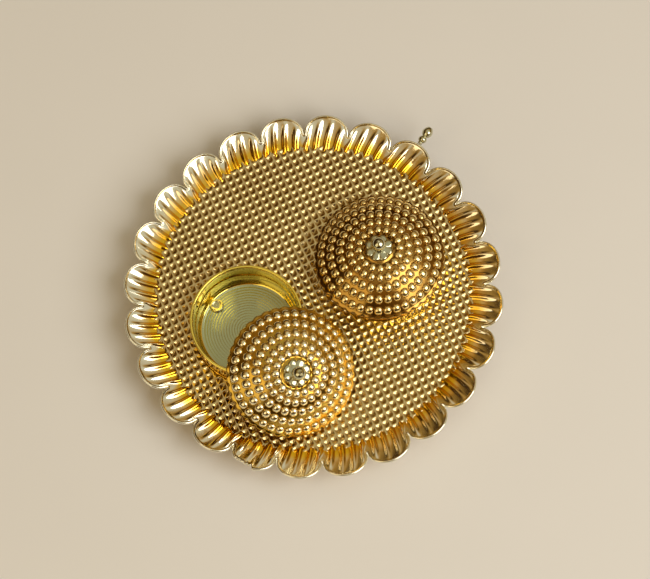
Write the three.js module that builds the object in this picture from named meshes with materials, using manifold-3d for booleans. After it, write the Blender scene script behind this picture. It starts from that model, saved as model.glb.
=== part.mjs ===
// Kumkum plate: a petalled dish with two riveted bowls, each with a beaded lid.
// Millimetres, +Z up. The origin is the middle of the plate, level with the foot ring's base.
// The bowls lie along X, their line a little off the middle, as on the photographed plate.
// The right lid is on its bowl and the left one leans on the open bowl.
import * as THREE from 'three';
import { mergeVertices } from 'three/addons/utils/BufferGeometryUtils.js';
import Module from 'manifold-3d';

const wasm = await Module();
wasm.setup();

// Plate
const PETALS = 24;
const FLOOR_RADIUS = 45;
const FLOOR_THICKNESS = 1.2;
const WALL_WIDTH = 10;
const NOTCH_DEPTH = 5.2;
const WALL_RISE = 3.3;
const WALL_CURVE = 0.65;
const WALL_THICKNESS = 1.1;
const LIP_HEIGHT = 0.45;
const LIP_WIDTH = 1.3;
const RIBS_A_PETAL = 4;
const RIB_HEIGHT = 0.45;
const RIB_LEAN = 1.3;
const STUD_HEIGHT = 0.55;

// Foot ring under the plate, wide enough to leave room round the rivets' tails
const FOOT_RADIUS = 38;
const FOOT_WALL = 2.4;
const FOOT_HEIGHT = 6;
const FOOT_BEVEL = 0.5;

// Small turned drop on a petal's tip
const PEG_PETAL = 2;
const PEG_DROP_RADIUS = 1.25;
const PEG_DROP_LENGTH = 3.9;
const PEG_BEAD_RADIUS = 0.9;
const PEG_NECK_RADIUS = 0.55;
const PEG_NECK_LENGTH = 0.7;

// Bowls
const BOWL_OFFSET = 21.1;
const BOWL_LINE = -1.05;
const BOWL_RIM_RADIUS = 16.25;
const BOWL_FLARE = 0.8;
const BOWL_HEIGHT = 11.3;
const BOWL_WALL = 0.9;
const BOWL_FLOOR = 1;
const BOWL_STEP_DEPTH = 4.6;
const BOWL_STEP_WIDTH = 0.35;
const BOWL_FILLET = 0.4;
const BOWL_FOOT_ROUND = 0.6;

// Rivets, two in each bowl, their centres set in from its rim
const RIVET_INSET = 4.65;
const RIVET_DIRECTION = 116.8;
const RIVET_HEAD_RADIUS = 2;
const RIVET_HEAD_HEIGHT = 0.75;
const RIVET_SHANK_RADIUS = 0.9;
const RIVET_TAIL_RADIUS = 1.6;
const RIVET_TAIL_HEIGHT = 0.6;

// Lids
const LID_WALL = 0.8;
const LID_RIM_WIDTH = 1.7;
const LID_EDGE = 1;
const LID_CROWN_HEIGHT = 8.3;
const LID_SKIRT = 1.1;
const LID_SHOULDER = 0.9;
const LID_CROWN_RADIUS = 4.6;
const LID_CURVE = 1.8;
const BEAD_COUNTS = [40, 34, 28, 22, 16];
const BEAD_RADII = [16.9, 14.1, 11.2, 8.4, 6.2];
const BEAD_HEIGHT = 0.9;
const SCALLOP_DEPTH = 0.45;
const LEAN_DIRECTION = -75.3;
const LEAN_DISTANCE = 19.2;

// Knobs: a lobed flower and a ball, held by a nut inside the lid
const FLOWER_RADIUS = 4;
const FLOWER_LOBES = 8;
const FLOWER_LOBE_DEPTH = 0.45;
const FLOWER_THICKNESS = 1;
const KNOB_BALL_RADIUS = 2;
const KNOB_NECK_RADIUS = 1.1;
const KNOB_NECK_LENGTH = 0.7;
const KNOB_FLARE = 0.5;
const KNOB_STEM_RADIUS = 0.8;
const KNOB_TIP_RADIUS = 0.4;
const NUT_ACROSS_FLATS = 3.6;
const NUT_HEIGHT = 1.2;
const NUT_STANDOUT = 0.5;

// Clearances
const SEAT_GAP = 0.3;
const HOLE_GAP = 0.3;
const SKIRT_GAP = 0.35;

// How far a cutting bar runs past the faces that it cuts
const CUT_MARGIN = 1;

// Places that follow from the sizes
const TIP_RADIUS = FLOOR_RADIUS + WALL_WIDTH;
const NOTCH_RADIUS = TIP_RADIUS - NOTCH_DEPTH;
const FLOOR_UNDER = FOOT_HEIGHT + SEAT_GAP;
const FLOOR_TOP = FLOOR_UNDER + FLOOR_THICKNESS;
const TIP_LEVEL = FLOOR_TOP + WALL_RISE;
const BOWL_FOOT_RADIUS = BOWL_RIM_RADIUS - BOWL_FLARE;
const BOWL_BASE = FLOOR_TOP + SEAT_GAP;
const BOWL_TOP = BOWL_BASE + BOWL_HEIGHT;
const RIVET_OFFSET = BOWL_RIM_RADIUS - RIVET_INSET;
const LID_INNER_RADIUS = BOWL_RIM_RADIUS + SKIRT_GAP;
const LID_RIM_RADIUS = LID_INNER_RADIUS + LID_RIM_WIDTH;
const LID_SEAT = LID_SKIRT + SEAT_GAP;

const RADIANS = Math.PI / 180;
const SILVER_GOLD = 0xd9c48a;
const GOLD = 0xd8ac3c;
const DEEP_GOLD = 0xc8942c;

function metal(color, roughness) {
  return new THREE.MeshStandardMaterial({ color, roughness, metalness: 1 });
}

function part(name, geometry, material, parent) {
  const mesh = new THREE.Mesh(geometry, material);
  mesh.name = name;
  parent.add(mesh);
  return mesh;
}

function solid(geometry) {
  const clean = geometry.clone();
  clean.deleteAttribute('normal');
  clean.deleteAttribute('uv');
  const merged = mergeVertices(clean, 1e-5);
  return new wasm.Manifold(new wasm.Mesh({
    numProp: 3,
    vertProperties: new Float32Array(merged.attributes.position.array),
    triVerts: new Uint32Array(merged.index.array),
  }));
}

function geometryOf(body) {
  const mesh = body.getMesh();
  const geometry = new THREE.BufferGeometry();
  geometry.setAttribute('position', new THREE.BufferAttribute(new Float32Array(mesh.vertProperties), 3));
  geometry.setIndex(new THREE.BufferAttribute(new Uint32Array(mesh.triVerts), 1));
  geometry.computeVertexNormals();
  return geometry;
}

// Turns a profile of [radius, height] points round the Z axis
function turned(profile, steps) {
  const points = profile.map(([radius, height]) => new THREE.Vector2(radius, height));
  return new THREE.LatheGeometry(points, steps).rotateX(Math.PI / 2);
}

// An upright round bar, from one height to another
function bar(radius, from, to, steps, x = 0, y = 0) {
  return turned([[0, from], [radius, from], [radius, to], [0, to]], steps).translate(x, y, 0);
}

// A closed skin through closed rings of points, from a first point to a last point.
// The rings run anticlockwise seen from above and may differ in their number of points.
function skin(first, rings, last) {
  const positions = [...first];
  const starts = [];
  for (const ring of rings) {
    starts.push(positions.length / 3);
    positions.push(...ring.flat());
  }
  const end = positions.length / 3;
  positions.push(...last);
  const faces = [];
  for (let i = 0; i < rings[0].length; i += 1) {
    faces.push(0, starts[0] + (i + 1) % rings[0].length, starts[0] + i);
  }
  for (let k = 0; k + 1 < rings.length; k += 1) {
    const a = rings[k].length;
    const b = rings[k + 1].length;
    let i = 0;
    let j = 0;
    while (i < a || j < b) {
      const near = starts[k] + i % a;
      const far = starts[k + 1] + j % b;
      if (j === b || (i < a && (i + 1) / a <= (j + 1) / b)) {
        faces.push(near, starts[k] + (i + 1) % a, far);
        i += 1;
      } else {
        faces.push(near, starts[k + 1] + (j + 1) % b, far);
        j += 1;
      }
    }
  }
  const tail = rings.length - 1;
  for (let i = 0; i < rings[tail].length; i += 1) {
    faces.push(end, starts[tail] + i, starts[tail] + (i + 1) % rings[tail].length);
  }
  const geometry = new THREE.BufferGeometry();
  geometry.setAttribute('position', new THREE.BufferAttribute(new Float32Array(positions), 3));
  geometry.setIndex(faces);
  geometry.computeVertexNormals();
  return geometry;
}

function ring(count, place) {
  return Array.from({ length: count }, (_, i) => place((i / count) * 2 * Math.PI));
}

function polar(radius, angle, height) {
  return [radius * Math.cos(angle), radius * Math.sin(angle), height];
}

// Radius of the scalloped edge: round petals that meet in pointed notches
function edgeRadius(angle) {
  const pitch = (2 * Math.PI) / PETALS;
  const across = (angle / pitch - Math.round(angle / pitch)) * 2;
  return NOTCH_RADIUS + (TIP_RADIUS - NOTCH_RADIUS) * Math.sqrt(Math.max(0, 1 - across * across));
}

// Height of the radial ribs on the wall. One runs out to each notch and the others lie between.
// They lean a little clockwise as they go out, and fade below the lip.
function ribHeight(angle, share) {
  const lean = -RIB_LEAN * RADIANS * share;
  const turn = (angle - lean) * ((PETALS * RIBS_A_PETAL) / (2 * Math.PI));
  const across = Math.abs(turn - Math.round(turn)) * 2;
  const fade = Math.max(0, 1 - share ** 3);
  return RIB_HEIGHT * (1 - across) * fade;
}

// How far the wall has risen above the floor at a radius
function wallRise(radius) {
  return WALL_RISE * ((radius - FLOOR_RADIUS) / (TIP_RADIUS - FLOOR_RADIUS)) ** WALL_CURVE;
}

// The plate is one casting: floor, flared ribbed wall and raised lip
function plateShell() {
  const steps = PETALS * RIBS_A_PETAL * 3;
  const wall = (share) => ring(steps, (angle) => {
    const outer = edgeRadius(angle) - LIP_WIDTH;
    const radius = FLOOR_RADIUS + (outer - FLOOR_RADIUS) * share;
    return polar(radius, angle, FLOOR_TOP + wallRise(radius) + ribHeight(angle, share));
  });
  const edge = (inset, height) => ring(steps, (angle) => {
    const radius = edgeRadius(angle) - inset;
    return polar(radius, angle, FLOOR_TOP + wallRise(radius) + height);
  });
  const flat = (radius, height) => ring(96, (angle) => polar(radius, angle, height));
  const rings = [
    flat(FLOOR_RADIUS - WALL_THICKNESS, FLOOR_UNDER),
    edge(LIP_WIDTH, -WALL_THICKNESS),
    edge(0, -WALL_THICKNESS * 0.4),
    edge(LIP_WIDTH * 0.25, LIP_HEIGHT),
    edge(LIP_WIDTH * 0.7, LIP_HEIGHT),
    wall(0.97),
    wall(0.6),
    wall(0.25),
    wall(0.02),
    flat(FLOOR_RADIUS - WALL_THICKNESS / 2, FLOOR_TOP),
  ];
  return skin([0, 0, FLOOR_UNDER], rings, [0, 0, FLOOR_TOP]);
}

// Rivet centres of one bowl, on opposite sides of its middle
function rivetPlaces(bowlX) {
  return [0, 180].map((turn) => {
    const angle = (RIVET_DIRECTION + turn) * RADIANS;
    return [bowlX + RIVET_OFFSET * Math.cos(angle), BOWL_LINE + RIVET_OFFSET * Math.sin(angle)];
  });
}

function rivetHoles(from, to) {
  return [-BOWL_OFFSET, BOWL_OFFSET].flatMap(rivetPlaces).map(([x, y]) => (
    solid(bar(RIVET_SHANK_RADIUS + HOLE_GAP, from - CUT_MARGIN, to + CUT_MARGIN, 16, x, y))
  ));
}

function drilled(geometry, from, to) {
  const body = rivetHoles(from, to).reduce((rest, hole) => rest.subtract(hole), solid(geometry));
  return geometryOf(body);
}

function footRing() {
  const inner = FOOT_RADIUS - FOOT_WALL;
  return turned([
    [inner, 0], [FOOT_RADIUS - FOOT_BEVEL, 0], [FOOT_RADIUS, FOOT_BEVEL],
    [FOOT_RADIUS - FOOT_BEVEL, FOOT_HEIGHT / 2], [FOOT_RADIUS, FOOT_HEIGHT - FOOT_BEVEL],
    [FOOT_RADIUS - FOOT_BEVEL, FOOT_HEIGHT], [inner, FOOT_HEIGHT], [inner, 0],
  ], 48);
}

// Neck, bead and drop, turned along Z and then laid out along the petal
function rimPeg() {
  const bead = PEG_NECK_LENGTH + PEG_BEAD_RADIUS;
  const drop = bead + PEG_BEAD_RADIUS * 0.7;
  const profile = [[0, 0], [PEG_NECK_RADIUS, 0], [PEG_NECK_RADIUS, PEG_NECK_LENGTH]];
  for (const turn of [-40, 0, 40]) {
    profile.push([PEG_BEAD_RADIUS * Math.cos(turn * RADIANS), bead + PEG_BEAD_RADIUS * Math.sin(turn * RADIANS)]);
  }
  for (const share of [0.15, 0.4, 0.65, 0.85, 0.95]) {
    profile.push([PEG_DROP_RADIUS * Math.sin(Math.PI * share ** 0.9) ** 0.7, drop + PEG_DROP_LENGTH * share]);
  }
  profile.push([0, drop + PEG_DROP_LENGTH]);
  return turned(profile, 14);
}

// A thin bowl whose wall leans out and has one small step inside
function bowlShell() {
  const slope = (BOWL_RIM_RADIUS - BOWL_FOOT_RADIUS) / BOWL_HEIGHT;
  const outside = (height) => BOWL_FOOT_RADIUS + slope * height;
  const step = BOWL_HEIGHT - BOWL_STEP_DEPTH;
  const round = BOWL_WALL * 0.5;
  return turned([
    [0, 0],
    [BOWL_FOOT_RADIUS - BOWL_FOOT_ROUND, 0],
    [outside(BOWL_FOOT_ROUND), BOWL_FOOT_ROUND],
    [outside(BOWL_HEIGHT - round), BOWL_HEIGHT - round],
    [BOWL_RIM_RADIUS - round, BOWL_HEIGHT],
    [outside(BOWL_HEIGHT - round) - BOWL_WALL, BOWL_HEIGHT - round],
    [outside(step) - BOWL_WALL, step],
    [outside(step) - BOWL_WALL - BOWL_STEP_WIDTH, step - BOWL_STEP_WIDTH],
    [outside(BOWL_FLOOR) - BOWL_WALL - BOWL_STEP_WIDTH, BOWL_FLOOR + BOWL_FILLET],
    [outside(BOWL_FLOOR) - BOWL_WALL - BOWL_STEP_WIDTH - BOWL_FILLET, BOWL_FLOOR],
    [0, BOWL_FLOOR],
  ], 48);
}

// Raised head with a dished middle, shank, and the tail that is set under the plate
function rivet() {
  const headBase = BOWL_BASE + BOWL_FLOOR + SEAT_GAP;
  const tailTop = FLOOR_UNDER - SEAT_GAP;
  return turned([
    [0, tailTop - RIVET_TAIL_HEIGHT],
    [RIVET_TAIL_RADIUS * 0.7, tailTop - RIVET_TAIL_HEIGHT],
    [RIVET_TAIL_RADIUS, tailTop - RIVET_TAIL_HEIGHT * 0.4],
    [RIVET_TAIL_RADIUS, tailTop],
    [RIVET_SHANK_RADIUS, tailTop],
    [RIVET_SHANK_RADIUS, headBase],
    [RIVET_HEAD_RADIUS, headBase],
    [RIVET_HEAD_RADIUS, headBase + RIVET_HEAD_HEIGHT * 0.5],
    [RIVET_HEAD_RADIUS * 0.85, headBase + RIVET_HEAD_HEIGHT],
    [RIVET_HEAD_RADIUS * 0.65, headBase + RIVET_HEAD_HEIGHT],
    [RIVET_HEAD_RADIUS * 0.55, headBase + RIVET_HEAD_HEIGHT * 0.6],
    [0, headBase + RIVET_HEAD_HEIGHT * 0.6],
  ], 14);
}

// Height of the lid's outer surface under the beads, above its rim plane
function domeHeight(radius) {
  const share = Math.min(1, Math.max(0, (radius - LID_CROWN_RADIUS) / (LID_RIM_RADIUS - LID_CROWN_RADIUS)));
  return LID_EDGE + (LID_CROWN_HEIGHT - LID_EDGE) * (1 - share ** LID_CURVE);
}

// A domed lid with rings of beads, an inner shoulder that sits on the bowl and a hole for the knob
function lidShell() {
  const inner = (height, radius) => ring(48, (angle) => polar(radius, angle, height));
  const lower = (radius) => domeHeight(radius) - LID_WALL;
  const rings = [
    inner(lower(LID_CROWN_RADIUS), LID_CROWN_RADIUS),
    inner(lower(BEAD_RADII[3]), BEAD_RADII[3]),
    inner(lower(BEAD_RADII[2]), BEAD_RADII[2]),
    inner(lower(BEAD_RADII[1]), BEAD_RADII[1]),
    inner(LID_SEAT, LID_INNER_RADIUS - LID_SHOULDER - SKIRT_GAP),
    inner(LID_SEAT, LID_INNER_RADIUS),
    inner(0, LID_INNER_RADIUS),
    inner(0, LID_RIM_RADIUS),
  ];
  const bump = (angle, count) => BEAD_HEIGHT * Math.abs(Math.cos((angle * count) / 2));
  rings.push(ring(BEAD_COUNTS[0] * 4, (angle) => (
    polar(LID_RIM_RADIUS + SCALLOP_DEPTH * Math.abs(Math.cos((angle * BEAD_COUNTS[0]) / 2)), angle, LID_EDGE)
  )));
  BEAD_COUNTS.forEach((count, i) => {
    const middle = BEAD_RADII[i];
    const last = i === BEAD_RADII.length - 1;
    const within = last ? LID_CROWN_RADIUS : (middle + BEAD_RADII[i + 1]) / 2;
    rings.push(ring(count * 4, (angle) => polar(middle, angle, domeHeight(middle) + bump(angle, count))));
    rings.push(ring(count * 2, (angle) => polar(within, angle, domeHeight(within))));
  });
  const shell = solid(skin([0, 0, lower(LID_CROWN_RADIUS)], rings, [0, 0, LID_CROWN_HEIGHT]));
  const hole = bar(KNOB_STEM_RADIUS + HOLE_GAP, 0, LID_CROWN_HEIGHT + CUT_MARGIN, 20);
  return geometryOf(shell.subtract(solid(hole)));
}

// A thin lobed disc with a rounded edge and a hole for the knob's stem
function flower() {
  const base = LID_CROWN_HEIGHT + SEAT_GAP;
  const lobed = (share, height) => ring(FLOWER_LOBES * 6, (angle) => {
    const radius = FLOWER_RADIUS - FLOWER_LOBE_DEPTH * (1 - Math.abs(Math.cos((angle * FLOWER_LOBES) / 2)));
    return polar(radius * share, angle, base + height * FLOWER_THICKNESS);
  });
  const disc = solid(skin(
    [0, 0, base],
    [lobed(0.9, 0), lobed(1, 0.35), lobed(0.9, 0.75), lobed(0.55, 1)],
    [0, 0, base + FLOWER_THICKNESS],
  ));
  const hole = bar(KNOB_STEM_RADIUS + HOLE_GAP, base - CUT_MARGIN, base + FLOWER_THICKNESS + CUT_MARGIN, 20);
  return geometryOf(disc.subtract(solid(hole)));
}

// Ball with a tiny tip on a short neck, and the stem that runs down into the nut
function knob() {
  const seat = LID_CROWN_HEIGHT + SEAT_GAP + FLOWER_THICKNESS + SEAT_GAP;
  const centre = seat + KNOB_NECK_LENGTH + KNOB_BALL_RADIUS * 0.85;
  const stemEnd = LID_CROWN_HEIGHT - LID_WALL - SEAT_GAP - NUT_HEIGHT - NUT_STANDOUT;
  const profile = [
    [0, stemEnd], [KNOB_STEM_RADIUS, stemEnd], [KNOB_STEM_RADIUS, seat],
    [KNOB_NECK_RADIUS + KNOB_FLARE, seat], [KNOB_NECK_RADIUS, seat + KNOB_NECK_LENGTH * 0.5],
  ];
  for (let turn = -50; turn <= 70; turn += 20) {
    profile.push([KNOB_BALL_RADIUS * Math.cos(turn * RADIANS), centre + KNOB_BALL_RADIUS * Math.sin(turn * RADIANS)]);
  }
  profile.push([KNOB_TIP_RADIUS, centre + KNOB_BALL_RADIUS + KNOB_TIP_RADIUS * 0.8]);
  profile.push([0, centre + KNOB_BALL_RADIUS + KNOB_TIP_RADIUS * 1.4]);
  return turned(profile, 18);
}

// Hexagonal nut inside the lid's crown
function nut() {
  const shape = new THREE.Shape();
  const corner = NUT_ACROSS_FLATS / 2 / Math.cos(30 * RADIANS);
  for (let i = 0; i < 6; i += 1) {
    shape[i === 0 ? 'moveTo' : 'lineTo'](corner * Math.cos(i * 60 * RADIANS), corner * Math.sin(i * 60 * RADIANS));
  }
  shape.closePath();
  const bore = new THREE.Path();
  bore.absarc(0, 0, KNOB_STEM_RADIUS + HOLE_GAP, 0, 2 * Math.PI, true);
  shape.holes.push(bore);
  const geometry = new THREE.ExtrudeGeometry(shape, { depth: NUT_HEIGHT, bevelEnabled: false, curveSegments: 16 });
  return geometry.translate(0, 0, LID_CROWN_HEIGHT - LID_WALL - SEAT_GAP - NUT_HEIGHT);
}

function lidParts(side, group) {
  part(`${side}_lid`, lidShell(), metal(GOLD, 0.22), group);
  part(`${side}_lid_flower`, flower(), metal(SILVER_GOLD, 0.2), group);
  part(`${side}_lid_knob`, knob(), metal(SILVER_GOLD, 0.15), group);
  part(`${side}_lid_nut`, nut(), metal(SILVER_GOLD, 0.35), group);
}

// Tilt at which a lid, its low edge on the studs, also lies on the rim of the bowl beside it.
// In plan the bowl's rim crosses the inner edge of the lid's rim, an ellipse once tilted,
// and at those two crossings the lid's rim plane lies just over the bowl's top.
function leanAngle() {
  const top = BOWL_TOP + SEAT_GAP - FLOOR_TOP - STUD_HEIGHT;
  let low = 5 * RADIANS;
  let high = 60 * RADIANS;
  for (let i = 0; i < 40; i += 1) {
    const tilt = (low + high) / 2;
    const squeeze = 1 / Math.cos(tilt) ** 2;
    const a = squeeze - 1;
    const b = 2 * LEAN_DISTANCE;
    const c = BOWL_RIM_RADIUS ** 2 - LEAN_DISTANCE ** 2 - LID_INNER_RADIUS ** 2;
    const crossing = (-b + Math.sqrt(b * b - 4 * a * c)) / (2 * a);
    const height = (crossing + LID_RIM_RADIUS * Math.cos(tilt)) * Math.tan(tilt);
    if (height < top) {
      low = tilt;
    } else {
      high = tilt;
    }
  }
  return high;
}

// Puts the left lid's group in its leaning place
function leanOn(group, bowlX) {
  const tilt = leanAngle();
  const direction = LEAN_DIRECTION * RADIANS;
  const axis = new THREE.Vector3(-Math.sin(direction), Math.cos(direction), 0);
  group.setRotationFromAxisAngle(axis, tilt);
  group.position.set(
    bowlX + LEAN_DISTANCE * Math.cos(direction),
    BOWL_LINE + LEAN_DISTANCE * Math.sin(direction),
    FLOOR_TOP + STUD_HEIGHT + LID_RIM_RADIUS * Math.sin(tilt),
  );
}

const plateGroup = new THREE.Group();
part('plate', drilled(plateShell(), FLOOR_UNDER, FLOOR_TOP), metal(GOLD, 0.25), plateGroup);
part('foot_ring', footRing(), metal(GOLD, 0.3), plateGroup);

const pegAngle = (PEG_PETAL * 2 * Math.PI) / PETALS;
const peg = part('rim_peg', rimPeg(), metal(SILVER_GOLD, 0.2), plateGroup);
peg.rotation.set(0, Math.PI / 2, pegAngle, 'ZYX');
peg.position.set(...polar(TIP_RADIUS + SEAT_GAP, pegAngle, TIP_LEVEL - WALL_THICKNESS / 4));

for (const [side, x] of [['left', -BOWL_OFFSET], ['right', BOWL_OFFSET]]) {
  const bowl = drilled(bowlShell().translate(x, BOWL_LINE, BOWL_BASE), BOWL_BASE, BOWL_BASE + BOWL_FLOOR);
  part(`${side}_bowl`, bowl, metal(DEEP_GOLD, 0.25), plateGroup);
  rivetPlaces(x).forEach(([rivetX, rivetY], i) => {
    const mesh = part(`${side}_bowl_rivet_${i + 1}`, rivet(), metal(SILVER_GOLD, 0.3), plateGroup);
    mesh.position.set(rivetX, rivetY, 0);
  });
}

const rightLid = new THREE.Group();
rightLid.position.set(BOWL_OFFSET, BOWL_LINE, BOWL_TOP + SEAT_GAP - LID_SEAT);
lidParts('right', rightLid);

const leftLid = new THREE.Group();
leanOn(leftLid, -BOWL_OFFSET);
lidParts('left', leftLid);

const kumkumPlate = new THREE.Group();
kumkumPlate.add(plateGroup, rightLid, leftLid);
kumkumPlate.updateMatrixWorld(true);

export default kumkumPlate;
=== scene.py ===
import math

import bmesh
import bpy
import numpy as np
from mathutils import Matrix, Vector


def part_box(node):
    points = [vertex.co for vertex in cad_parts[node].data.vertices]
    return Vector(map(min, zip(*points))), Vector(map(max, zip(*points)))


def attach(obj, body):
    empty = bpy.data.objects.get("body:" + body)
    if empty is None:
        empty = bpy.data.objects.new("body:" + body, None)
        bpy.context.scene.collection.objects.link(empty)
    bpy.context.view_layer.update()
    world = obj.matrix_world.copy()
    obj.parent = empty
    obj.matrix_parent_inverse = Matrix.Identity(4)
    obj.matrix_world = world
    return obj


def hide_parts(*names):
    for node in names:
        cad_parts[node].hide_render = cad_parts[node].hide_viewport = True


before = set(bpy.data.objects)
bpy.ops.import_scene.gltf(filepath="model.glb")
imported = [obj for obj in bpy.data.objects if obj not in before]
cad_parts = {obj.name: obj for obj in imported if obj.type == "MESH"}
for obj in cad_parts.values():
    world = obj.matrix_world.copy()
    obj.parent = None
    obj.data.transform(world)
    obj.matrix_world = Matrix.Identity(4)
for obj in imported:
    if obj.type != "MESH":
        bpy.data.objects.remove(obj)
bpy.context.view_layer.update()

MM = 0.001

# Camera
# It stands where the photograph's camera stood, 821 mm from the petal tips' plane.
# The fit to the 24 petal tips gave its elevation, its roll and the point it looks at.
IMAGE_WIDTH = 650
PIXELS_PER_MM = 3.471
CAMERA_DISTANCE = 820.9
CAMERA_TURN = math.radians(-18.18)
CAMERA_ELEVATION = math.radians(72.43)
CAMERA_ROLL = math.radians(7.747)
AIM_HEIGHT = 10.8
PICTURE_SHIFT = (-12.26, -3.7)

level_right = Vector((math.cos(CAMERA_TURN), math.sin(CAMERA_TURN), 0))
towards_camera = Vector((math.sin(CAMERA_TURN) * math.cos(CAMERA_ELEVATION),
                         -math.cos(CAMERA_TURN) * math.cos(CAMERA_ELEVATION),
                         math.sin(CAMERA_ELEVATION)))
level_up = towards_camera.cross(level_right)
camera_right = level_right * math.cos(CAMERA_ROLL) - level_up * math.sin(CAMERA_ROLL)
camera_up = level_right * math.sin(CAMERA_ROLL) + level_up * math.cos(CAMERA_ROLL)
camera_place = (Vector((0, 0, AIM_HEIGHT)) + towards_camera * CAMERA_DISTANCE
                - camera_right * PICTURE_SHIFT[0] / PIXELS_PER_MM
                - camera_up * PICTURE_SHIFT[1] / PIXELS_PER_MM) * MM
camera_data = bpy.data.cameras.new("camera")
camera_data.sensor_width = 36
camera_data.sensor_fit = "HORIZONTAL"
camera_data.lens = PIXELS_PER_MM * CAMERA_DISTANCE * camera_data.sensor_width / IMAGE_WIDTH
camera_data.clip_start = 0.01
camera = bpy.data.objects.new("camera", camera_data)
camera.matrix_world = Matrix.Translation(camera_place) @ Matrix(
    (camera_right, camera_up, towards_camera)).transposed().to_4x4()
bpy.context.scene.collection.objects.link(camera)
bpy.context.scene.camera = camera
bpy.context.scene.view_settings.view_transform = "Standard"


# Table and room
# A plain sheet of pale paper under the foot ring. The room that the metal mirrors is dark brown
# low down, warm higher up, and pale overhead and a little to the right.
class Wire:
    """One output in a node tree. Sums, differences and products of wires add Math nodes."""

    def __init__(self, tree, socket):
        self.tree = tree
        self.socket = socket

    def math(self, operation, *others):
        node = self.tree.nodes.new("ShaderNodeMath")
        node.operation = operation
        for place, value in enumerate((self, *others)):
            plug(self.tree, node.inputs[place], value)
        return Wire(self.tree, node.outputs[0])

    def __add__(self, other):
        return self.math("ADD", other)

    __radd__ = __add__

    def __sub__(self, other):
        return self.math("SUBTRACT", other)

    def __mul__(self, other):
        return self.math("MULTIPLY", other)

    def clamped(self):
        return self.math("MINIMUM", 1).math("MAXIMUM", 0)


def plug(tree, target, value):
    """Links a wire to a socket, or writes a plain value on it."""
    if isinstance(value, Wire):
        tree.links.new(value.socket, target)
    elif hasattr(target.default_value, "__len__") and len(value) == 3 and len(target.default_value) == 4:
        target.default_value = (*value, 1)
    else:
        target.default_value = value


class Nodes:
    """A node tree under construction."""

    def __init__(self, tree):
        self.tree = tree

    def node(self, kind, settings=None, values=None, output=0):
        """Adds one node: its settings first, then the values or wires of its sockets."""
        made = self.tree.nodes.new(kind)
        for key, value in (settings or {}).items():
            setattr(made, key, value)
        for key, value in (values or {}).items():
            plug(self.tree, made.inputs[key], value)
        return Wire(self.tree, made.outputs[output])

    def noise(self, scale, detail=2.0):
        """Noise from 0 to 1 on Object coordinates, with its scale in waves a metre."""
        place = self.node("ShaderNodeTexCoord", output="Object")
        return self.node("ShaderNodeTexNoise", values={"Vector": place, "Scale": scale, "Detail": detail})

    def shade(self, factor, low, high):
        """The colour low where the factor is 0 and high where it is 1."""
        return self.node("ShaderNodeMix", {"data_type": "RGBA"}, {0: factor, 6: low, 7: high}, output=2)


class Finish(Nodes):
    """A material under construction, with its node tree and its Principled shader."""

    def __init__(self, name):
        self.material = bpy.data.materials.new(name)
        self.material.use_nodes = True
        super().__init__(self.material.node_tree)
        self.shader = self.tree.nodes["Principled BSDF"]

    def put(self, **values):
        """Sets the Principled shader's sockets, named with underscores for spaces."""
        for key, value in values.items():
            plug(self.tree, self.shader.inputs[key.replace("_", " ").title()], value)


TABLE_COLOURS = (0.8, 0.785, 0.76), (0.82, 0.805, 0.78)
TABLE_HALF = 1.5
table_finish = Finish("table_paper")
table_finish.put(Base_Color=table_finish.shade(table_finish.noise(30), *TABLE_COLOURS), Roughness=0.7)
table_mesh = bpy.data.meshes.new("table")
table_mesh.from_pydata([(-TABLE_HALF, -TABLE_HALF, 0), (TABLE_HALF, -TABLE_HALF, 0),
                        (TABLE_HALF, TABLE_HALF, 0), (-TABLE_HALF, TABLE_HALF, 0)], [], [(0, 1, 2, 3)])
table_mesh.materials.append(table_finish.material)
table = bpy.data.objects.new("table", table_mesh)
bpy.context.scene.collection.objects.link(table)

WALLS_COLOUR = (0.05, 0.026, 0.009)
GLOW_COLOUR = (0.37, 0.215, 0.05)
CEILING_COLOUR = (0.56, 0.53, 0.42)
WALLS_TO_GLOW = (0.3, 0.7)
GLOW_TO_CEILING = (0.6, 0.96)
BRIGHT_WAY = (level_right * 0.28 + level_up * 0.05 + Vector((0, 0, 0.9))).normalized()
world = bpy.data.worlds.new("studio")
bpy.context.scene.world = world
world.use_nodes = True
room = Nodes(world.node_tree)
room_way = room.node("ShaderNodeTexCoord", output="Generated")
room_level = room.node("ShaderNodeVectorMath", {"operation": "DOT_PRODUCT"}, {0: room_way, 1: BRIGHT_WAY},
                       output="Value")
room_low, room_high = (
    room.node("ShaderNodeMapRange", {"interpolation_type": "SMOOTHSTEP"},
              {"Value": room_level, "From Min": start, "From Max": end})
    for start, end in (WALLS_TO_GLOW, GLOW_TO_CEILING))
plug(world.node_tree, world.node_tree.nodes["Background"].inputs["Color"],
     room.shade(room_high, room.shade(room_low, WALLS_COLOUR, GLOW_COLOUR), CEILING_COLOUR))


# Studio lamps
# A soft key lamp at the picture's lower right throws the shadows to the upper left, as in the
# photograph. A weak, warm fill lamp stands at the lower left.
LAMP_SIZE = 0.8


def lamp(name, turn, elevation, distance, power, colour):
    """Adds a square soft lamp that faces the plate, at a turn from the camera's right, in degrees."""
    data = bpy.data.lights.new(name, "AREA")
    data.size = LAMP_SIZE
    data.energy = power
    data.color = colour
    turn, elevation = math.radians(turn), math.radians(elevation)
    away = level_right * math.cos(turn) + level_up * math.sin(turn)
    away.z = 0
    away = away.normalized() * math.cos(elevation) + Vector((0, 0, math.sin(elevation)))
    facing = away.to_track_quat("Z", "Y").to_matrix().to_4x4()
    light = bpy.data.objects.new(name, data)
    light.matrix_world = Matrix.Translation(away * distance) @ facing
    bpy.context.scene.collection.objects.link(light)


lamp("key_lamp", turn=-36, elevation=45, distance=1.1, power=7.4, colour=(1, 0.98, 0.94))
lamp("fill_lamp", turn=-140, elevation=38, distance=1.2, power=2.6, colour=(1, 0.84, 0.55))


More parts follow.
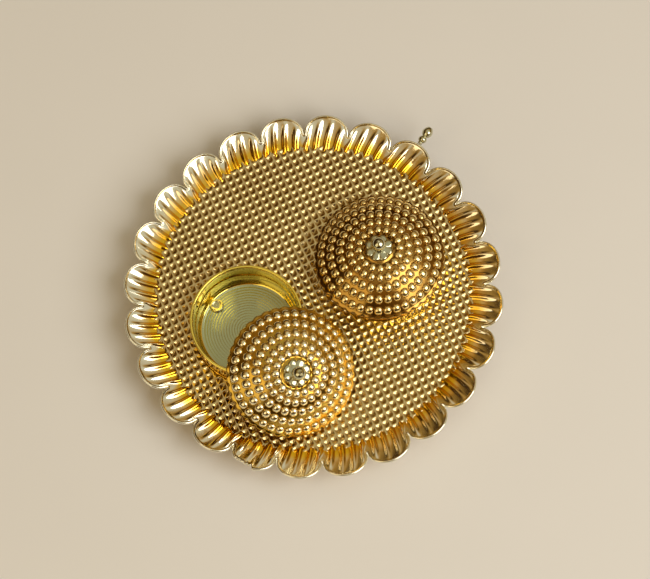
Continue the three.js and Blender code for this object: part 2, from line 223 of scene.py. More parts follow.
# Plate
# One casting in gold-plated alloy: a flat floor, a flared wall with 96 ribs,
# and 24 petals with a raised rounded lip. It stands on the foot ring.
PETALS = 24
PETAL_PITCH = 2 * math.pi / PETALS
TIP_RADIUS = 55.0
NOTCH_RADIUS = 49.8
FLOOR_RADIUS = 45.0
FLOOR_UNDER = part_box("plate")[0][2] / MM
FLOOR_THICKNESS = 1.2
FLOOR_TOP = FLOOR_UNDER + FLOOR_THICKNESS
WALL_RISE = 3.3
WALL_THICKNESS = 1.1
LIP_WIDTH = 1.0
LIP_HEIGHT = 0.32
RIBS_A_PETAL = 4
RIB_HEIGHT = 0.75
RIB_LEAN = math.radians(1.8)
CUP_DEPTH = 0.6
NICKED_PETAL = math.radians(225)
NICK_DEPTH = 1.0
NICK_RISE = (-6.5, -2.5)
NICK_FALL = (0.6, 1.1)
COLUMNS_A_PETAL = 60
# Pale silver for the lips and the outer petals is a painted sheen. The deep saturated gold at the wall's
# foot is a painted reflection of light bounced from the floor.
PLATE_COLOURS = (0.93, 0.9, 0.74), (0.92, 0.54, 0.03)
PLATE_ROUGHNESS = 0.12


def gold(name, colours, roughness, rings=None):
    """Gold plate in two colours, mixed by a point attribute: pale where it is 1, a painted sheen, and deep
    where it is 0, a painted shade or painted bounced light.

    Slow and fine noise vary the colour and the roughness, and a fine bump softens the reflections.
    Rings, where given, are turning marks: their middle and their pitch in millimetres, and how deep
    they are beside the fine noise.
    """
    pale, deep = colours
    finish = Finish(name)
    worn = finish.node("ShaderNodeAttribute", {"attribute_name": "worn"}, output="Fac")
    slow = finish.noise(70)
    fine = finish.noise(1500, 3)
    factor = (worn * 0.75 + slow * 0.4 - 0.08 + (fine - 0.5) * 0.2).clamped()
    finish.put(Base_Color=finish.shade(factor, deep, pale), Metallic=1.0,
               Roughness=(roughness + (slow - 0.5) * 0.1 + (fine - 0.5) * 0.08).clamped())
    height = fine
    if rings:
        (middle_x, middle_y), pitch, depth = rings
        place = finish.node("ShaderNodeTexCoord", output="Object")
        offset = finish.node("ShaderNodeVectorMath", {"operation": "SUBTRACT"},
                             {0: place, 1: (middle_x * MM, middle_y * MM, 0)})
        flat = finish.node("ShaderNodeVectorMath", {"operation": "MULTIPLY"}, {0: offset, 1: (1, 1, 0)})
        radius = finish.node("ShaderNodeVectorMath", {"operation": "LENGTH"}, {0: flat}, output="Value")
        height = (radius * (2 * math.pi / (pitch * MM)) + slow * 4).math("SINE") * depth + fine * 0.2
    bump = finish.node("ShaderNodeBump", values={"Strength": 0.25, "Distance": 0.05 * MM, "Height": height})
    finish.put(Normal=bump)
    return finish.material


def skin_piece(name, rows, material, worn, loop=False):
    """A closed surface through rows of points, each row a ring anticlockwise seen from above.

    The rows have the shape (rows, columns, 3) in millimetres. A cap joins the first ring, and one the
    last, to a point in its middle. With loop the last row joins the first instead, as on a foot ring.
    """
    count, columns = rows.shape[:2]
    points = rows.reshape(-1, 3)
    values = worn.reshape(-1)
    index = np.arange(count * columns).reshape(count, columns)
    if loop:
        index = np.vstack([index, index[:1]])
    nxt = np.roll(index, -1, axis=1)
    quads = np.stack([index[:-1], nxt[:-1], nxt[1:], index[1:]], -1).reshape(-1, 4)
    loops = [quads.reshape(-1)]
    sizes = [np.full(len(quads), 4)]
    if not loop:
        for row, (a, b) in ((0, (nxt[0], index[0])), (-1, (index[-1], nxt[-1]))):
            pole = len(points)
            points = np.vstack([points, rows[row].mean(0)])
            values = np.append(values, values[index[row]].mean())
            fan = np.stack([np.full(columns, pole), a, b], -1)
            loops.append(fan.reshape(-1))
            sizes.append(np.full(columns, 3))
    return mesh_piece(name, points, np.concatenate(loops), np.concatenate(sizes), material, values)


def mesh_piece(name, points, loops, sizes, material, worn):
    """Puts points in millimetres and polygons, as loops and sizes, into a new object at the origin."""
    mesh = bpy.data.meshes.new(name)
    mesh.vertices.add(len(points))
    mesh.vertices.foreach_set("co", (points * MM).astype(np.float32).reshape(-1))
    mesh.loops.add(len(loops))
    mesh.loops.foreach_set("vertex_index", loops.astype(np.int32))
    mesh.polygons.add(len(sizes))
    mesh.polygons.foreach_set("loop_start", np.concatenate([[0], np.cumsum(sizes)[:-1]]).astype(np.int32))
    mesh.polygons.foreach_set("use_smooth", np.full(len(sizes), True))
    mesh.update(calc_edges=True)
    mesh.attributes.new("worn", "FLOAT", "POINT").data.foreach_set("value", worn.astype(np.float32))
    mesh.materials.append(material)
    piece = bpy.data.objects.new(name, mesh)
    bpy.context.scene.collection.objects.link(piece)
    return piece


def step_up(value, start, end):
    """A smooth step: 0 up to the start, 1 from the end on, and a cubic between them."""
    share = np.clip((value - start) / (end - start), 0, 1)
    return share * share * (3 - 2 * share)


def petal_radius(angle, inset):
    """Radius of a line that follows the scalloped edge at a distance inside it.

    Each petal is half an ellipse. A line inside it is a smaller ellipse,
    and near a notch it is a circle of that distance round the notch's point.
    One petal has a ragged dent in one half of its edge, as on the photographed plate.
    """
    half = NOTCH_RADIUS * math.pi / PETALS
    rise = TIP_RADIUS - NOTCH_RADIUS
    across = np.abs((angle / PETAL_PITCH + 0.5) % 1 - 0.5) * 2 * half
    inside = NOTCH_RADIUS + (rise - inset) * np.sqrt(np.maximum(0, 1 - (across / (half - inset)) ** 2))
    round_notch = NOTCH_RADIUS - np.sqrt(np.maximum(0, inset ** 2 - (half - across) ** 2))
    line = np.where(half - across < inset, round_notch, inside)
    turn = np.degrees((angle - NICKED_PETAL + math.pi) % (2 * math.pi) - math.pi)
    ragged = 1 + 0.18 * np.sin(turn * 5) + 0.1 * np.sin(turn * 13 + 1)
    return line - NICK_DEPTH * ragged * step_up(turn, *NICK_RISE) * (1 - step_up(turn, *NICK_FALL))


def wall_rise(radius):
    """Height of the wall over the floor, in proportion to the share of the way out to the tips."""
    return WALL_RISE * (np.maximum(0, radius - FLOOR_RADIUS) / (TIP_RADIUS - FLOOR_RADIUS))


def ribs(angle, share):
    """Height of the ribs, from 0 to 1: every 3.75 degrees a ridge, a power of a cosine wave.

    The ridges bend a little clockwise as they go out, start just inside the wall's foot, where the
    share is below 0, and fade at the lip.
    """
    lean = RIB_LEAN * max(share, 0) ** 1.5
    ridge = (0.5 + 0.5 * np.cos((angle + lean) * PETALS * RIBS_A_PETAL)) ** 2.6
    return ridge * step_up(share, -0.08, 0.04) * np.clip((1 - share) / 0.45, 0, 1) ** 0.8


def cup(angle, share):
    """How much a petal is hollowed, in millimetres: a squared cosine across, deepest past half way."""
    across = np.abs((angle / PETAL_PITCH + 0.5) % 1 - 0.5) * 2
    return CUP_DEPTH * np.cos(across * math.pi / 2) ** 2 * step_up(share, 0.1, 0.6) * (1 - 0.8 * share ** 4)


sweep = (np.arange(COLUMNS_A_PETAL) + 0.5) / COLUMNS_A_PETAL
within_petal = 0.5 * (0.35 * (2 * sweep - 1) + 0.65 * np.sin((sweep - 0.5) * math.pi))
plate_angles = ((np.arange(PETALS)[:, None] + within_petal) * PETAL_PITCH).reshape(-1)


def ring_points(radius, height, angle):
    """Points on a ring, where radius, height and angle may vary round it."""
    radius, height, angle = np.broadcast_arrays(radius, height, angle)
    return np.stack([radius * np.cos(angle), radius * np.sin(angle), height], -1)


def plate_rows():
    """The plate's skin, from the middle of its underside out over the lip and in to the floor's middle."""
    rows = []
    worn = []

    def add(radius, height, value):
        rows.append(ring_points(radius, height, plate_angles))
        worn.append(np.broadcast_to(value, plate_angles.shape))

    # The last value of each ring sets its colour: pale on the lips, a painted sheen, and deep at the wall's
    # foot, a painted bounced light.
    for radius in (20.0, FLOOR_RADIUS - 2.5):
        add(radius, FLOOR_UNDER, 0.5)
    inner = FLOOR_RADIUS - 1
    outer = petal_radius(plate_angles, LIP_WIDTH)
    for share in np.linspace(0, 1, 8):
        radius = inner + (outer - inner) * share
        add(radius, FLOOR_TOP + wall_rise(radius) - WALL_THICKNESS - 0.1 * (1 - share), 0.5)
    middle = (LIP_HEIGHT - WALL_THICKNESS) / 2
    half = (LIP_HEIGHT + WALL_THICKNESS) / 2
    for lip in np.radians(np.linspace(-90, 90, 9)[1:-1]):
        radius = petal_radius(plate_angles, LIP_WIDTH / 2 - LIP_WIDTH / 2 * math.cos(lip))
        add(radius, FLOOR_TOP + wall_rise(radius) + middle + half * math.sin(lip), 1.2)
    for share in np.linspace(0, 1, 10):
        radius = petal_radius(plate_angles, LIP_WIDTH * (0.5 + 0.5 * share))
        crown = LIP_HEIGHT * (0.5 + 0.5 * math.cos(math.pi * share))
        dip = 0.12 * math.sin(math.pi * share) ** 2 + cup(plate_angles, 1) * share ** 2
        add(radius, FLOOR_TOP + wall_rise(radius) + crown - dip, 1.2)
    for share in np.linspace(0.97, -0.07, 28):
        radius = FLOOR_RADIUS + (outer - FLOOR_RADIUS) * share
        ridge = ribs(plate_angles, share)
        height = wall_rise(radius) + RIB_HEIGHT * ridge - cup(plate_angles, share)
        add(radius, FLOOR_TOP + height, 1.15 * step_up(share, 0.25, 0.8) - 0.15)
    for radius in (FLOOR_RADIUS - 1.5, 30.0, 10.0):
        add(radius, FLOOR_TOP, 0.1)
    return np.array(rows), np.array(worn)


plate_gold = gold("plate_gold", PLATE_COLOURS, PLATE_ROUGHNESS)
plate_points, plate_tone_and_painted_light = plate_rows()
plate = skin_piece("plate_casting", plate_points, plate_gold, plate_tone_and_painted_light)
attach(plate, "plate_with_bowls")
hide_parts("plate")


# Floor pattern
# Cast in one with the plate: a square grid of hollow pyramids in line with the bowls, with sharp
# ridges between them and a small dimple where four ridges meet. It stops at the bowls, and ends
# under the foot of the wall.
CELL_PITCH = 2.18
PATTERN_HEIGHT = 0.55
PATTERN_RADIUS = 46.7
PATTERN_FOOT = 0.06
PATTERN_BASE = 0.3
DIMPLE_RADIUS = 0.4
DIMPLE_DEPTH = 0.26
SAMPLES_A_CELL = 8
# Pale on the ridges and deep in the pits and at the bowls' feet: painted shade in the hollows.
PATTERN_COLOURS = (0.77, 0.6, 0.29), (0.34, 0.2, 0.05)
PATTERN_ROUGHNESS = 0.18
BOWL_RIM_RADIUS = 16.25
BOWL_FOOT_RADIUS = 15.45
BOWL_MIDDLES = {side: np.array(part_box(side + "_bowl")).mean(0)[:2] / MM for side in ("left", "right")}


def pattern_height(x, y):
    """Height of the pattern over the floor: hollow pyramids, less a dimple where ridges cross.

    A pyramid rises with the greater of the two distances from its middle, softened by an eighth power
    norm. A dimple is a smooth round hollow. Beside the height is the share of the way up, which sets the
    colour: deep in the pits, a painted shade.
    """
    across = (x / CELL_PITCH + 0.5) % 1 - 0.5
    along = (y / CELL_PITCH + 0.5) % 1 - 0.5
    rise = np.minimum(1, 2 * (across ** 8 + along ** 8) ** 0.125)
    corner = np.hypot(0.5 - np.abs(across), 0.5 - np.abs(along)) * CELL_PITCH / DIMPLE_RADIUS
    dimple = (1 - step_up(corner, 0, 1)) * DIMPLE_DEPTH
    return np.maximum(0.01, PATTERN_HEIGHT * rise - dimple), rise


def floor_pattern(material):
    """The pattern as a closed slab: a square net of points, its border let down and its underside filled."""
    spacing = CELL_PITCH / SAMPLES_A_CELL
    count = int(PATTERN_RADIUS / spacing) + 1
    line = np.arange(-count, count + 1) * spacing
    x, y = np.meshgrid(line, line)
    inside = np.ones(x.shape)
    free = np.hypot(x, y) < PATTERN_RADIUS
    for middle in BOWL_MIDDLES.values():
        away = np.hypot(x - middle[0], y - middle[1]) - BOWL_FOOT_RADIUS
        inside = inside * step_up(away, 0.05, 0.5)
        free &= away > -0.25
    height, worn = pattern_height(x, y)
    z = FLOOR_TOP - PATTERN_FOOT + (height + PATTERN_FOOT) * inside
    whole = free[:-1, :-1] & free[1:, :-1] & free[:-1, 1:] & free[1:, 1:]
    index = np.arange(x.size).reshape(x.shape)
    quads = np.stack([index[:-1, :-1], index[:-1, 1:], index[1:, 1:], index[1:, :-1]], -1)[whole]
    used, packed = np.unique(quads, return_inverse=True)
    points = np.stack([x, y, z], -1).reshape(-1, 3)[used]
    # The colour goes deep in the pits and in a thin band at the bowls' feet, a painted shade.
    piece = mesh_piece("floor_pattern", points, packed.reshape(-1), np.full(len(quads), 4), material,
                       (worn * inside).reshape(-1)[used])
    shape = bmesh.new()
    shape.from_mesh(piece.data)
    border = [edge for edge in shape.edges if edge.is_boundary]
    lowered = bmesh.ops.extrude_edge_only(shape, edges=border)["geom"]
    for vertex in (part for part in lowered if isinstance(part, bmesh.types.BMVert)):
        vertex.co.z = (FLOOR_TOP - PATTERN_BASE) * MM
    rim = [part for part in lowered if isinstance(part, bmesh.types.BMEdge)]
    bmesh.ops.triangle_fill(shape, edges=rim, use_beauty=False)
    bmesh.ops.recalc_face_normals(shape, faces=shape.faces)
    shape.to_mesh(piece.data)
    shape.free()
    return piece


pattern = floor_pattern(gold("pattern_gold", PATTERN_COLOURS, PATTERN_ROUGHNESS))
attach(pattern, "plate_with_bowls")


# Foot ring
# Turned from the same metal and soldered under the plate, which stands on it.
# It is out of the photograph's sight.
FOOT_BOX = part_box("foot_ring")
FOOT_RADIUS = FOOT_BOX[1][0] / MM
FOOT_HEIGHT = FOOT_BOX[1][2] / MM
FOOT_WALL = 2.4
TURNED_COLUMNS = 160
turned_angles = np.arange(TURNED_COLUMNS) * 2 * math.pi / TURNED_COLUMNS


def turned_rows(profile, angles=turned_angles):
    """Rings of a turned piece round the Z axis, from a profile of [radius, height] points."""
    profile = np.asarray(profile, float)
    return ring_points(profile[:, :1], profile[:, 1:], angles[None, :])


def rounded(profile, steps=5, reach=0.3):
    """Rounds a profile's inner corners: each becomes a curve from a point before it to one after."""
    profile = np.asarray(profile, float)
    out = [profile[:1]]
    t = np.linspace(0, 1, steps)[:, None]
    for before, corner, after in zip(profile[:-2], profile[1:-1], profile[2:]):
        start = corner + (before - corner) * min(0.45, reach / max(np.linalg.norm(before - corner), 1e-6))
        end = corner + (after - corner) * min(0.45, reach / max(np.linalg.norm(after - corner), 1e-6))
        out.append((1 - t) ** 2 * start + 2 * t * (1 - t) * corner + t ** 2 * end)
    out.append(profile[-1:])
    return np.concatenate(out)


foot_inner = FOOT_RADIUS - FOOT_WALL
foot_profile = rounded([
    (foot_inner + 1, 0), (FOOT_RADIUS, 0), (FOOT_RADIUS - 0.7, FOOT_HEIGHT / 2),
    (FOOT_RADIUS, FOOT_HEIGHT), (foot_inner, FOOT_HEIGHT), (foot_inner, 0), (foot_inner + 0.99, 0),
], reach=0.5)
foot_ring = skin_piece("foot_ring_turned", turned_rows(foot_profile), plate_gold,
                       np.full((len(foot_profile), TURNED_COLUMNS), 0.6), loop=True)
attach(foot_ring, "plate_with_bowls")
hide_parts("foot_ring")


# Rim peg
# A small turned drop on a neck and a bead, in paler plating than the plate's.
# It is brazed to the tip of one petal.
PEG_PETAL = math.radians(30)
PEG_BASE = TIP_RADIUS + 0.3
PEG_LEVEL = (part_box("rim_peg")[0][2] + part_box("rim_peg")[1][2]) / 2 / MM
PALE_COLOURS = (0.68, 0.66, 0.46), (0.34, 0.32, 0.16)
PALE_ROUGHNESS = 0.14
peg_profile = [(0.75, 0), (0.6, 0.3), (0.55, 0.6)]
peg_profile += [(1.25 * math.cos(turn), 1.45 + 1.1 * math.sin(turn))
                for turn in np.radians(np.arange(-60, 61, 20))]
peg_profile += [(0.6 + 0.95 * math.sin(math.pi * share) ** 0.8 * (1.1 - 0.3 * share), 2.45 + 3.4 * share)
                for share in np.linspace(0.03, 0.93, 14)]
peg_profile += [(0.25, 5.8)]


def laid_out(rows, direction, base, level):
    """Lays a piece turned round Z along a direction in plan, its foot at a radius and a height."""
    along = np.array([math.cos(direction), math.sin(direction), 0])
    aside = np.array([-math.sin(direction), math.cos(direction), 0])
    up = np.array([0, 0, 1.0])
    return (base + rows[..., 2:]) * along + rows[..., :1] * aside + (rows[..., 1:2] + level) * up


pale_gold = gold("pale_gold", PALE_COLOURS, PALE_ROUGHNESS)
peg_rows = laid_out(turned_rows(peg_profile, turned_angles[::4]), PEG_PETAL, PEG_BASE, PEG_LEVEL)
rim_peg = skin_piece("rim_peg_turned", peg_rows, pale_gold, np.full(peg_rows.shape[:2], 0.8))
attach(rim_peg, "plate_with_bowls")
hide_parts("rim_peg")


# Bowls
# Two thin bowls pressed from plated metal, with a step in the wall and turning marks on the
# floor. Each is riveted to the plate's floor.
BOWL_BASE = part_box("left_bowl")[0][2] / MM
BOWL_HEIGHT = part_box("left_bowl")[1][2] / MM - BOWL_BASE
BOWL_WALL = 0.9
BOWL_FLOOR = 1.0
BOWL_STEP_DEPTH = 4.6
BOWL_STEP_WIDTH = 0.35
BOWL_HOLLOW = 0.25
BOWL_WAVES = ((3, 0.06), (5, 0.06), (11, 0.04), (17, 0.02))
BOWL_COLOURS = (1.0, 0.84, 0.2), (0.88, 0.58, 0.04)
BOWL_ROUGHNESS = 0.1
BOWL_FLOOR_COLOURS = (0.53, 0.55, 0.32), (0.36, 0.38, 0.19)
BOWL_FLOOR_ROUGHNESS = 0.28
MARK_PITCH = 0.78
MARK_DEPTH = 3.0


def bowl_profile():
    """A bowl's section from its underside's middle, up the outside, over the rim and down inside."""
    slope = (BOWL_RIM_RADIUS - BOWL_FOOT_RADIUS) / BOWL_HEIGHT
    step = BOWL_HEIGHT - BOWL_STEP_DEPTH
    inside = BOWL_FOOT_RADIUS - BOWL_WALL
    below = inside - BOWL_STEP_WIDTH
    corners = [
        (8, 0), (BOWL_FOOT_RADIUS - 0.1, 0), (BOWL_FOOT_RADIUS + slope * 0.8, 0.8),
        (BOWL_RIM_RADIUS, BOWL_HEIGHT), (BOWL_RIM_RADIUS - BOWL_WALL, BOWL_HEIGHT),
    ]
    corners += [(inside + slope * height + BOWL_HOLLOW * math.sin(math.pi * share), height)
                for share, height in zip((0.25, 0.5, 0.75), np.linspace(BOWL_HEIGHT, step, 5)[1:4])]
    corners += [
        (inside + slope * step, step), (below + slope * step, step - 0.3), (below + 0.1, BOWL_FLOOR + 1.6),
        (below - 0.15, BOWL_FLOOR + 0.5), (below - 0.9, BOWL_FLOOR), (8, BOWL_FLOOR), (1, BOWL_FLOOR),
    ]
    return rounded(corners, 7, 0.42) + [0, BOWL_BASE]


def bowl_rows():
    """A bowl's rings round the Z axis, its inner wall made a little uneven by a few slow waves."""
    section = bowl_profile()
    rows = turned_rows(section)
    height = section[:, 1] - BOWL_BASE
    above_floor = step_up(height, BOWL_FLOOR + 0.2, BOWL_FLOOR + 2)
    below_rim = 1 - step_up(height, BOWL_HEIGHT - 2, BOWL_HEIGHT)
    in_wall = above_floor * below_rim
    in_wall[:np.argmax(height)] = 0
    uneven = sum(size * np.sin(waves * turned_angles + waves) for waves, size in BOWL_WAVES)
    rows[..., :2] *= 1 + (in_wall[:, None] * uneven / BOWL_RIM_RADIUS)[..., None]
    return rows


for side, (x, y) in BOWL_MIDDLES.items():
    bowl_gold = gold(side + "_bowl_gold", BOWL_COLOURS, BOWL_ROUGHNESS)
    floor_gold = gold(side + "_bowl_floor_gold", BOWL_FLOOR_COLOURS, BOWL_FLOOR_ROUGHNESS,
                      rings=((x, y), MARK_PITCH, MARK_DEPTH))
    bowl_points = bowl_rows() + [x, y, 0]
    bowl = skin_piece(side + "_bowl_pressed", bowl_points, bowl_gold, np.full(bowl_points.shape[:2], 0.7))
    bowl.data.materials.append(floor_gold)
    centres = np.zeros(len(bowl.data.polygons) * 3)
    bowl.data.polygons.foreach_get("center", centres)
    centres = centres.reshape(-1, 3) / MM
    floor_radius = BOWL_FOOT_RADIUS - BOWL_WALL - BOWL_STEP_WIDTH - 0.6
    on_floor = (np.abs(centres[:, 2] - BOWL_BASE - BOWL_FLOOR) < 0.15) & (
        np.hypot(centres[:, 0] - x, centres[:, 1] - y) < floor_radius)
    bowl.data.polygons.foreach_set("material_index", on_floor.astype(np.int32))
    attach(bowl, "plate_with_bowls")
    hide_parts(side + "_bowl")


# Bowl rivets
# Two in each bowl, of soft plated metal, with a dished head inside the bowl and a tail set
# under the plate.
RIVET_COLOURS = (0.62, 0.58, 0.32), (0.42, 0.38, 0.17)
RIVET_ROUGHNESS = 0.2
rivet_head = BOWL_BASE + BOWL_FLOOR + 0.02
rivet_tail = FLOOR_UNDER - 0.9
rivet_profile = rounded([
    (0.2, rivet_tail), (1.2, rivet_tail), (1.6, rivet_tail + 0.3), (1.6, FLOOR_UNDER - 0.02),
    (0.9, FLOOR_UNDER - 0.02), (0.9, rivet_head), (2.0, rivet_head), (1.98, rivet_head + 0.45),
    (1.7, rivet_head + 0.72), (1.4, rivet_head + 0.68), (1.1, rivet_head + 0.48), (0.6, rivet_head + 0.44),
    (0.1, rivet_head + 0.44),
], 5, 0.25)
rivet_gold = gold("rivet_gold", RIVET_COLOURS, RIVET_ROUGHNESS)
for side in ("left", "right"):
    for number in (1, 2):
        node = f"{side}_bowl_rivet_{number}"
        middle = [*(np.array(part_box(node)).mean(0)[:2] / MM), 0]
        rivet_rows = turned_rows(rivet_profile, turned_angles[::4])
        rivet = skin_piece(node + "_head", rivet_rows + middle, rivet_gold,
                           np.full(rivet_rows.shape[:2], 0.6))
        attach(rivet, "plate_with_bowls")
        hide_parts(node)


# Lids
# Each is a thin dome pressed from plated metal, with five rings of flat-topped beads and a short
# skirt that goes over the bowl's rim. The right one is on its bowl, the left one leans on its own.
LID_RIM_RADIUS = 18.3
LID_INNER_RADIUS = 16.6
LID_EDGE = 1.0
LID_WALL = 0.8
LID_SEAT = 1.4
LID_CROWN_HEIGHT = 8.3
LID_CROWN_RADIUS = 4.6
LID_CURVE = 1.8
BEAD_COUNTS = (40, 34, 28, 22, 16)
BEAD_RADII = (16.7, 14.0, 11.2, 8.4, 5.9)
BEAD_HEIGHT = 0.8
BEAD_SUNK = 0.35
BEAD_HALF_LENGTH = 1.5
BEAD_OVERLAP = 0.08
CROWN_GAP = 2.6
BEAD_RINGS = (1.04, 0.96, 0.82, 0.52)
# Each bead is pale on top, a painted highlight, and dark at its foot, a painted shade.
BEAD_RINGS_PAINTED_LIGHT = (-0.2, 0.0, 0.6, 1.0)
BEAD_TURNS = 12
BEAD_SQUARENESS = 2.6
SCALLOP_DEPTH = 0.45
GROOVE_RADIUS = 4.5
GROOVE_WIDTH = 0.5
GROOVE_DEPTH = 0.4
LEAN_DIRECTION = math.radians(-75.3)
LEAN_DISTANCE = 19.2
REST_HEIGHT = 0.55
# The leaning left lid has paler colours than the right, a painted highlight where it tilts towards the key
# lamp.
LID_LIT_AND_SHADED_COLOURS = {"left": ((1.0, 0.91, 0.62), (0.58, 0.37, 0.06)),
               "right": ((0.95, 0.76, 0.36), (0.42, 0.24, 0.05))}
LID_ROUGHNESS = 0.17
# The dome takes the deep colour all over, a painted shade in the valleys between the beads.
DOME_PAINTED_SHADE = -0.2


def dome_height(radius):
    """Height of the dome between the beads: a crown that falls with a power of the radius."""
    share = np.clip((radius - LID_CROWN_RADIUS) / (LID_RIM_RADIUS - LID_CROWN_RADIUS), 0, 1)
    return LID_EDGE + (LID_CROWN_HEIGHT - LID_EDGE) * (1 - share ** LID_CURVE)


def dome_slope(radius):
    """Slope of the dome, from two heights a little apart."""
    return (dome_height(radius + 0.05) - dome_height(radius - 0.05)) / 0.1


def lean_angle():
    """Tilt of a lid with its low edge on the floor's pattern and its rim across the bowl's rim.

    In plan the bowl's rim crosses the inner edge of the lid's rim, an ellipse once tilted.
    There the lid's rim plane lies just over the bowl's top. Halving the range finds the tilt.
    """
    top = BOWL_BASE + BOWL_HEIGHT + 0.3 - FLOOR_TOP - REST_HEIGHT
    low, high = math.radians(5), math.radians(60)
    for _ in range(40):
        tilt = (low + high) / 2
        a = 1 / math.cos(tilt) ** 2 - 1
        b = 2 * LEAN_DISTANCE
        c = BOWL_RIM_RADIUS ** 2 - LEAN_DISTANCE ** 2 - LID_INNER_RADIUS ** 2
        crossing = (-b + math.sqrt(b * b - 4 * a * c)) / (2 * a)
        if (crossing + LID_RIM_RADIUS * math.cos(tilt)) * math.tan(tilt) < top:
            low = tilt
        else:
            high = tilt
    return high


def lid_place(side):
    """The turn and the place of a lid: its matrix and the middle of its rim plane."""
    if side == "right":
        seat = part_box("right_lid")[0][2] / MM
        return np.eye(3), np.array([*BOWL_MIDDLES[side], seat])
    tilt = lean_angle()
    axis = Vector((-math.sin(LEAN_DIRECTION), math.cos(LEAN_DIRECTION), 0))
    turn = np.array(Matrix.Rotation(tilt, 3, axis))
    middle = BOWL_MIDDLES[side]
    foot = [middle[0] + LEAN_DISTANCE * math.cos(LEAN_DIRECTION),
            middle[1] + LEAN_DISTANCE * math.sin(LEAN_DIRECTION),
            FLOOR_TOP + REST_HEIGHT + LID_RIM_RADIUS * math.sin(tilt)]
    return turn, np.array(foot)


def bead_grid():
    """Beads on the dome, each a grid of rings by angle, one array for all beads.

    A bead fills its share of the ring: a rounded square in plan, by a power of the cosine and sine.
    Its section has a flat top and steep sides, along the dome's normal, and its foot is in the dome.
    """
    beads = []
    shares = np.array(BEAD_RINGS)
    turns = np.arange(BEAD_TURNS) * 2 * math.pi / BEAD_TURNS
    rises = np.maximum(0, 1 - (shares / shares[0]) ** 3) ** 0.6
    powers = np.abs(np.cos(turns)) ** BEAD_SQUARENESS + np.abs(np.sin(turns)) ** BEAD_SQUARENESS
    square = powers ** (-1 / BEAD_SQUARENESS)
    for number, (count, radius) in enumerate(zip(BEAD_COUNTS, BEAD_RADII)):
        gap_in = radius - BEAD_RADII[number + 1] if number + 1 < len(BEAD_RADII) else CROWN_GAP
        half_out = min(BEAD_HALF_LENGTH, gap_in / 2 + BEAD_OVERLAP)
        half_round = math.pi * radius / count
        slope = dome_slope(radius)
        normal = np.array([-slope, 0, 1]) / math.hypot(1, slope)
        outward = np.array([1, 0, slope]) / math.hypot(1, slope)
        around = np.array([0, 1.0, 0])
        middle = np.array([radius, 0, dome_height(radius)]) - BEAD_SUNK * normal
        rise = (BEAD_HEIGHT + BEAD_SUNK) * rises[:, None, None] * normal
        plan = (shares[:, None] * square)[..., None] * (
            half_out * np.cos(turns)[:, None] * outward + half_round * np.sin(turns)[:, None] * around)
        pole = middle + (BEAD_HEIGHT + BEAD_SUNK) * normal
        bead = np.concatenate([(middle + rise + plan).reshape(-1, 3), pole[None]])
        for turn in np.arange(count) * 2 * math.pi / count:
            spin = np.array([[math.cos(turn), -math.sin(turn), 0],
                             [math.sin(turn), math.cos(turn), 0],
                             [0, 0, 1]])
            beads.append(bead @ spin.T)
    return np.array(beads)


LID_COLUMNS = 320
lid_angles = np.arange(LID_COLUMNS) * 2 * math.pi / LID_COLUMNS


def lid_rows():
    """The lid's rings: from the crown's inside out to the rim, round its scalloped edge and back.

    The scallops follow the outer ring of beads. A groove, a bell curve in section, runs round the flower.
    """
    inner = [(radius, dome_height(radius) - LID_WALL) for radius in np.linspace(1.2, 14.4, 12)]
    seat = [(LID_INNER_RADIUS - 1.25, LID_SEAT), (LID_INNER_RADIUS, LID_SEAT), (LID_INNER_RADIUS, 0.02),
            (LID_RIM_RADIUS, 0.02)]
    under = np.concatenate([inner, rounded(seat, 4, 0.15)])
    scallop = SCALLOP_DEPTH * np.abs(np.cos(lid_angles * BEAD_COUNTS[0] / 2))
    rows = [ring_points(radius, height, lid_angles) for radius, height in under]
    for out, height in ((0.6, 0.2), (0.9, 0.45), (1, 0.75), (0.85, LID_EDGE), (0.4, LID_EDGE + 0.15)):
        rows.append(ring_points(LID_RIM_RADIUS - 0.05 + scallop * out, height, lid_angles))
    for radius in np.linspace(LID_RIM_RADIUS - 0.35, 1.2, 66):
        groove = GROOVE_DEPTH * math.exp(-((radius - GROOVE_RADIUS) / GROOVE_WIDTH) ** 2)
        rows.append(ring_points(radius, dome_height(radius) - groove, lid_angles))
    return np.array(rows)


for side in ("left", "right"):
    body = side + "_lid_body"
    lid_gold = gold(side + "_lid_gold", LID_LIT_AND_SHADED_COLOURS[side], LID_ROUGHNESS)
    turn, foot = lid_place(side)
    rows = lid_rows()
    dome = skin_piece(side + "_lid_dome", rows @ turn.T + foot, lid_gold,
                      np.full(rows.shape[:2], DOME_PAINTED_SHADE), loop=True)
    beads = bead_grid()
    start = np.arange(len(beads))[:, None] * beads.shape[1]
    grid = np.arange(len(BEAD_RINGS) * BEAD_TURNS).reshape(-1, BEAD_TURNS)
    ahead = np.roll(grid, -1, axis=1)
    quads = np.stack([grid[:-1], ahead[:-1], ahead[1:], grid[1:]], -1).reshape(-1)
    fans = np.stack([np.full(BEAD_TURNS, grid.size), grid[-1], ahead[-1]], -1).reshape(-1)
    loops = np.concatenate([start + quads, start + fans, start + grid[0][::-1]], 1)
    sizes = np.concatenate([np.full(len(quads) // 4, 4), np.full(BEAD_TURNS, 3), [BEAD_TURNS]])
    worn = np.append(np.repeat(BEAD_RINGS_PAINTED_LIGHT, BEAD_TURNS), 1.0)
    bead_rings = mesh_piece(side + "_lid_beads", beads.reshape(-1, 3) @ turn.T + foot, loops.reshape(-1),
                            np.tile(sizes, len(beads)), lid_gold, np.tile(worn, len(beads)))
    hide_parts(side + "_lid")
    for piece in (dome, bead_rings):
        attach(piece, body)


# Lid knobs
# A cast flower with eight lobes, and a turned ball with a tiny tip on a short neck, in the peg's
# plating. The knob's stem runs through the flower and the crown into a nut inside the lid.
FLOWER_RADIUS = 4.0
FLOWER_LOBES = 8
FLOWER_COLUMNS = 192
FLOWER_BASE = LID_CROWN_HEIGHT + 0.3
KNOB_SEAT = FLOWER_BASE + 1.3
BALL_RADIUS = 2.0


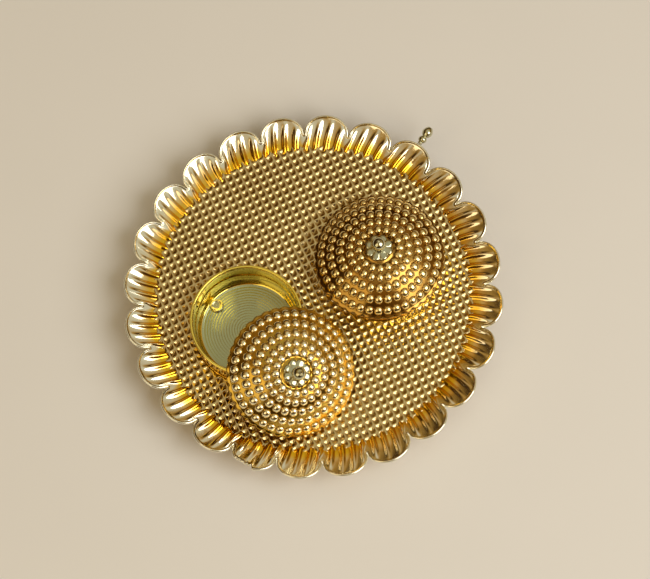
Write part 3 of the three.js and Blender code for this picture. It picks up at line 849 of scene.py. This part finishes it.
def flower_rows():
    """A lobed disc: its radius swells in eight rounded lobes and its edge is half round."""
    angles = np.arange(FLOWER_COLUMNS) * 2 * math.pi / FLOWER_COLUMNS
    lobe = np.abs(np.cos(angles * FLOWER_LOBES / 2)) ** 0.8
    section = [(0.3, 0), (0.75, 0), (0.93, 0.08), (1.0, 0.35), (0.97, 0.6), (0.88, 0.78), (0.72, 0.72),
               (0.55, 0.82), (0.42, 0.98), (0.3, 1.0)]
    rows = []
    for share, height in section:
        depth = 0.55 * min(1, share ** 2 * 1.1)
        radius = (FLOWER_RADIUS - depth * (1 - lobe)) * share
        crease = 0.3 * (1 - lobe) * math.exp(-((share - 0.85) / 0.2) ** 2) if height > 0.3 else 0
        rows.append(ring_points(radius, FLOWER_BASE + height - crease, angles))
    return np.array(rows)


def knob_profile():
    """The knob's section: stem, flared foot, neck, ball and tip."""
    centre = KNOB_SEAT + 0.7 + BALL_RADIUS * 0.85
    stem_end = LID_CROWN_HEIGHT - LID_WALL - 2.0
    profile = [(0.3, stem_end), (0.8, stem_end + 0.05), (0.8, KNOB_SEAT - 0.02), (1.7, KNOB_SEAT - 0.02),
               (1.6, KNOB_SEAT + 0.15), (1.15, KNOB_SEAT + 0.4), (1.1, KNOB_SEAT + 0.6)]
    profile += [(BALL_RADIUS * math.cos(turn), centre + BALL_RADIUS * math.sin(turn))
                for turn in np.radians(np.arange(-52, 78, 9))]
    profile += [(0.42, centre + BALL_RADIUS + 0.12), (0.36, centre + BALL_RADIUS + 0.35),
                (0.15, centre + BALL_RADIUS + 0.54)]
    return np.array(profile)


for side in ("left", "right"):
    turn, foot = lid_place(side)
    flower_points = flower_rows()
    flower = skin_piece(side + "_lid_flower_cast", flower_points @ turn.T + foot, pale_gold,
                        np.full(flower_points.shape[:2], 0.7))
    knob_points = turned_rows(knob_profile(), turned_angles[::2])
    knob = skin_piece(side + "_lid_knob_turned", knob_points @ turn.T + foot, pale_gold,
                      np.full(knob_points.shape[:2], 0.8))
    for piece, node in ((flower, "_lid_flower"), (knob, "_lid_knob")):
        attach(piece, side + "_lid_body")
        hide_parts(side + node)


# Lid nuts
# A plain hexagonal nut inside each lid, as the solids have it. It holds the knob's stem,
# and gets the knobs' material here.
for side in ("left", "right"):
    for slot in bpy.data.objects[side + "_lid_nut"].material_slots:
        slot.material = pale_gold
